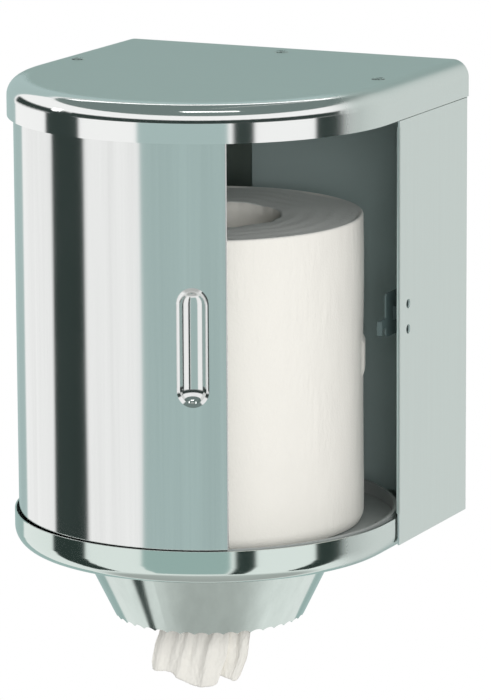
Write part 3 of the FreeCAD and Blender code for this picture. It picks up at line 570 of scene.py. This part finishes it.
def along(points, at):
    """Values between points that each begin with their place, as a smooth curve through them."""
    last = len(points) - 1
    i = next((k for k in range(last) if at <= points[k + 1][0]), last - 1)
    before, start, end, after = (points[min(last, max(0, k))] for k in range(i - 1, i + 3))
    t = (at - start[0]) / (end[0] - start[0])
    values = []
    for p, q, r, s in zip(before[1:], start[1:], end[1:], after[1:]):
        values.append(q + 0.5 * t * (r - p + t * (2 * p - 5 * q + 4 * r - s + t * (3 * (q - r) + s - p))))
    return values


def tail_section(height):
    """The row of the tail's path at a height, between the rows given."""
    for upper, lower in zip(TAIL_PATH, TAIL_PATH[1:]):
        if height >= lower[2]:
            t = (upper[2] - height) / (upper[2] - lower[2])
            return [a + (b - a) * t for a, b in zip(upper, lower)]
    return list(TAIL_PATH[-1])


def unevenness(u, v, across, down, layer):
    """Smooth noise at a share u of the sheet's width and a share v of the way down."""
    return wobble(u * across, v * down, layer)


def tail_point(u, v):
    """A point of the tail at a share u of its width and a share v of the way down."""
    top = TAIL_PATH[0][2]
    low = along(LOWER_EDGE, u)[0] + FRINGE * abs(unevenness(u, v, *FRINGE_WAVES))
    height = top + (low - top) * v
    x, ahead, _, half_w, half_d = tail_section(height)
    across, deep = along(FOLDS, u)
    across += SWAY * unevenness(u, v, *SWAY_WAVES) * (1 - abs(across))
    across = min(1.0, max(-1.0, across))
    pleats = PLEATS * u + PLEAT_WANDER * unevenness(u, v, *PLEAT_WAVES)
    deep += PLEAT_DEPTH * math.sin(2 * math.pi * pleats)
    deep += SLACK * unevenness(u, v, *SLACK_WAVES)
    room = half_d * (ROOM_AT_SIDES + ROOM_TO_MIDDLE * math.sqrt(1 - across * across))
    y = room * min(DEEPEST, max(-DEEPEST, deep))
    crinkle = CRINKLE * unevenness(u, v, *CRINKLE_WAVES)
    return (x + half_w * across, AXIS_Y - ahead + y + crinkle, TRAY_Z + height)


def make_tail():
    """Strip of tissue gathered into soft upright folds, with a torn, slanting lower edge."""
    verts = []
    for r in range(TAIL_ROWS):
        for c in range(TAIL_COLUMNS):
            verts.append(tail_point(c / (TAIL_COLUMNS - 1), r / (TAIL_ROWS - 1)))
    faces = grid_faces(TAIL_ROWS, TAIL_COLUMNS)
    piece = mesh_object("tissue_end", verts, faces, tissue_paper("end_tissue"))
    thick = piece.modifiers.new("thickness", "SOLIDIFY")
    thick.thickness = TISSUE_THICKNESS
    thick.offset = 0.0
    return piece


# ------------------------------------------------------------------ dress the object

satin = satin_steel("satin_steel")
plated = moulded_plastic("dark_zinc", DARK_ZINC, 0.55)
FINISH = {
    "rear_shell": satin_steel("wall_steel", dull_inside=True),
    "top_lid": drawn_steel("lid_steel"),
    "bottom_tray": drawn_steel("tray_steel", SOFT_STEEL),
    "side_straps": satin,
    "outlet_funnel": polished_steel("funnel_steel", SOFT_STEEL),
    "funnel_rivets": polished_steel("rivet_steel"),
    "lower_rail": moulded_plastic("rail_plastic", RAIL_GREY),
    "upper_rail": moulded_plastic("upper_rail_plastic", RAIL_GREY),
    "lower_rail_rivets": satin,
    "upper_rail_rivets": struck_rivets("struck_rivets"),
    "stop_buffers": moulded_plastic("buffer_rubber", BUFFER_BLACK, 0.7),
    "door_panel": polished_steel("door_steel", dull_inside=True),
    "lock_keeper": plated,
    "lock_bracket": plated,
    "lock_rocker": plated,
    "lock_pin": plated,
    "pin_clips": plated,
    "lock_washers": moulded_plastic("washer_plastic", WASHER_WHITE),
}
for node, material in FINISH.items():
    nodes[node].material_slots[0].material = material

roll = make_roll()
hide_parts("paper_roll")
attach(roll, "roll")

tail = make_tail()
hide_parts("paper_tail")
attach(tail, "tail")

# ------------------------------------------------------------------ studio

WHITE = (1.0, 1.0, 1.0)
FLOOR_GREY = (0.66, 0.67, 0.66)
FLOOR_Z = -1.3
FLOOR_RADIUS = 0.9
FLOOR_FADE = 0.6                  # share of the radius where the floor begins to fade to white
FLOOR_SIDES = 96
WORLD_LIGHT = 0.5                 # what the world gives to matt surfaces; it is seen as plain white

# Plain tones of the boards; where there is none, the steel mirrors the white background
MID_GREY = (0.42, 0.54, 0.53)
DIM_GREY = (0.18, 0.23, 0.22)
DARK_GREY = (0.035, 0.050, 0.046)

# A board that reaches the zenith has no upper edge
ZENITH = 90.0

# Boards that give the steel its light and dark bands. For each: where it begins and ends, as angles
# from the front towards the right, its lower and upper edge above the horizon, and its tone. A later
# board stands in front of an earlier one.
BOARDS = {
    "board_back": (-190.0, -115.0, -55.0, 40.0, MID_GREY),
    "board_camera": (-15.0, 40.0, -55.0, 0.0, MID_GREY),
    "board_left": (-80.0, -50.0, -60.0, 0.0, DARK_GREY),
    "board_beside_camera": (40.0, 55.0, -60.0, 0.0, DARK_GREY),
    "board_right": (90.0, 115.0, -60.0, 0.0, DARK_GREY),
    "ceiling": (-180.0, 180.0, 40.0, ZENITH, DIM_GREY),
    "board_above": (-115.0, 115.0, -5.0, 15.0, DARK_GREY),
}
BOARD_RADIUS = 12.0
BOARD_STEP = 0.1
SOFT_SIDE = 3.0       # a board fades out over this many degrees at its sides
SOFT_EDGE = 5.0       # and over this many at its lower and upper edge
COLUMNS_PER_DEGREE = 2

# For each lamp: its angle from the front and above the horizon, its distance, its width and height,
# its power in watts, and whether the steel mirrors it
LAMPS = {
    "front_lamp": (40.0, 10.0, 2.3, (1.2, 1.2), 28.0, False),
    "left_lamp": (-35.0, 20.0, 2.2, (1.0, 1.0), 6.0, False),
    "strip_back": (-150.0, 52.0, 1.9, (1.5, 0.2), 1.6, True),
    "strip_front": (30.0, 68.0, 1.9, (0.7, 0.15), 1.0, True),
    "spot_left": (-66.0, 16.0, 1.9, (0.2, 0.3), 0.3, True),
}


def board_material(name, tone):
    """One even tone, which the steel mirrors as it is written, and which fades at the borders."""
    material, tree = empty_material(name)
    glow = add(tree, "ShaderNodeEmission", {"Color": rgba(tone), "Strength": 1.0})
    clear = add(tree, "ShaderNodeBsdfTransparent")
    body = add(tree, "ShaderNodeAttribute", attribute_name="body").outputs["Fac"]
    mix_to_output(tree, body, clear, glow)
    material.cycles.emission_sampling = "NONE"
    return material


def make_board(name, radius, begin, end, low, high, tone):
    """Curved upright board that only mirrors in the object, and neither lights nor shades it."""
    columns = round(end - begin) * COLUMNS_PER_DEGREE
    rows = round(high - low)
    has_upper_edge = high < ZENITH
    verts = []
    body = []
    for r in range(rows):
        rise = low + (high - low) * r / (rows - 1)
        upright = hump(rise, low + SOFT_EDGE, high - SOFT_EDGE, SOFT_EDGE) if has_upper_edge else 1.0
        for c in range(columns):
            turn = begin + (end - begin) * c / (columns - 1)
            verts.append(direction(turn, rise) * radius)
            body.append(upright * hump(turn, begin + SOFT_SIDE, end - SOFT_SIDE, SOFT_SIDE))
    board = mesh_object(name, verts, grid_faces(rows, columns), board_material(name, tone))
    board.data.attributes.new("body", "FLOAT", "POINT").data.foreach_set("value", body)
    board.location = (0.0, AXIS_Y, 0.0)
    board.visible_camera = False
    board.visible_diffuse = False
    board.visible_shadow = False


def floor_material():
    """Pale floor that keeps the shadow and fades to the white background at its rim."""
    material, tree = empty_material("floor_white")
    far = add(tree, "ShaderNodeVectorMath", {0: object_place(tree)}, operation="LENGTH")
    rim = smooth_step(tree, far.outputs["Value"], FLOOR_RADIUS * FLOOR_FADE, FLOOR_RADIUS)
    paint = add(tree, "ShaderNodeBsdfDiffuse", {"Color": rgba(FLOOR_GREY)})
    white = add(tree, "ShaderNodeEmission", {"Color": rgba(WHITE), "Strength": 1.0})
    mix_to_output(tree, rim, paint, white)
    return material


def make_floor():
    verts = [(0.0, 0.0, 0.0)]
    verts += [direction(-360 * c / FLOOR_SIDES, 0.0) * FLOOR_RADIUS for c in range(FLOOR_SIDES)]
    faces = [(0, (c + 1) % FLOOR_SIDES + 1, c + 1) for c in range(FLOOR_SIDES)]
    floor = mesh_object("floor", verts, faces, floor_material(), smooth=False)
    floor.location = (0.0, AXIS_Y, FLOOR_Z)


def make_world():
    """White to the camera and in reflections, and a softer light on matt surfaces."""
    world = bpy.data.worlds.new("white")
    world.use_nodes = True
    tree = world.node_tree
    tree.nodes.clear()
    path = add(tree, "ShaderNodeLightPath")
    seen = math_node(tree, "MAXIMUM", path.outputs["Is Camera Ray"], path.outputs["Is Glossy Ray"])
    seen = math_node(tree, "MAXIMUM", seen, path.outputs["Is Transmission Ray"])
    strength = mix_value(tree, seen, WORLD_LIGHT, 1.0)
    sky = add(tree, "ShaderNodeBackground", {"Color": rgba(WHITE), "Strength": strength})
    add(tree, "ShaderNodeOutputWorld", {"Surface": sky.outputs[0]})
    bpy.context.scene.world = world


def make_lamp(name, turn, rise, distance, size, power, mirrored):
    lamp = bpy.data.lights.new(name, "AREA")
    lamp.shape = "RECTANGLE"
    lamp.size, lamp.size_y = size
    lamp.energy = power
    piece = bpy.data.objects.new(name, lamp)
    bpy.context.scene.collection.objects.link(piece)
    way = direction(turn, rise)
    piece.location = way * distance + Vector((0.0, AXIS_Y, 0.0))
    piece.rotation_euler = way.to_track_quat("Z", "Y").to_euler()
    piece.visible_camera = False
    piece.visible_glossy = mirrored


# ------------------------------------------------------------------ camera

CAMERA_TURN = 26.026              # angles in degrees
CAMERA_RISE = 11.909
CAMERA_ROLL = -0.322
CAMERA_DISTANCE = 2.9932
CAMERA_ASIDE = 0.02051
CAMERA_DOWN = 0.05166
AIM = Vector((0.0, -0.11829, 0.02436))
LENS = 241.4
SENSOR_WIDTH = 36.0


def make_camera():
    """Camera at the photograph's angle, moved aside and down to frame the object as it does."""
    back = direction(CAMERA_TURN, CAMERA_RISE)
    level = direction(CAMERA_TURN + 90.0, 0.0)
    up = back.cross(level)
    roll_turn = math.radians(CAMERA_ROLL)
    right = level * math.cos(roll_turn) + up * math.sin(roll_turn)
    above = up * math.cos(roll_turn) - level * math.sin(roll_turn)
    data = bpy.data.cameras.new("camera")
    data.lens = LENS
    data.sensor_width = SENSOR_WIDTH
    camera = bpy.data.objects.new("camera", data)
    bpy.context.scene.collection.objects.link(camera)
    place = AIM + back * CAMERA_DISTANCE + level * CAMERA_ASIDE - up * CAMERA_DOWN
    turn = Matrix((right, above, back)).transposed().to_4x4()
    camera.matrix_world = Matrix.Translation(place) @ turn
    bpy.context.scene.camera = camera


make_camera()
make_world()
make_floor()
for place, (board, shape) in enumerate(BOARDS.items()):
    make_board(board, BOARD_RADIUS - place * BOARD_STEP, *shape)
for lamp_name, settings in LAMPS.items():
    make_lamp(lamp_name, *settings)
bpy.context.scene.view_settings.view_transform = "Standard"
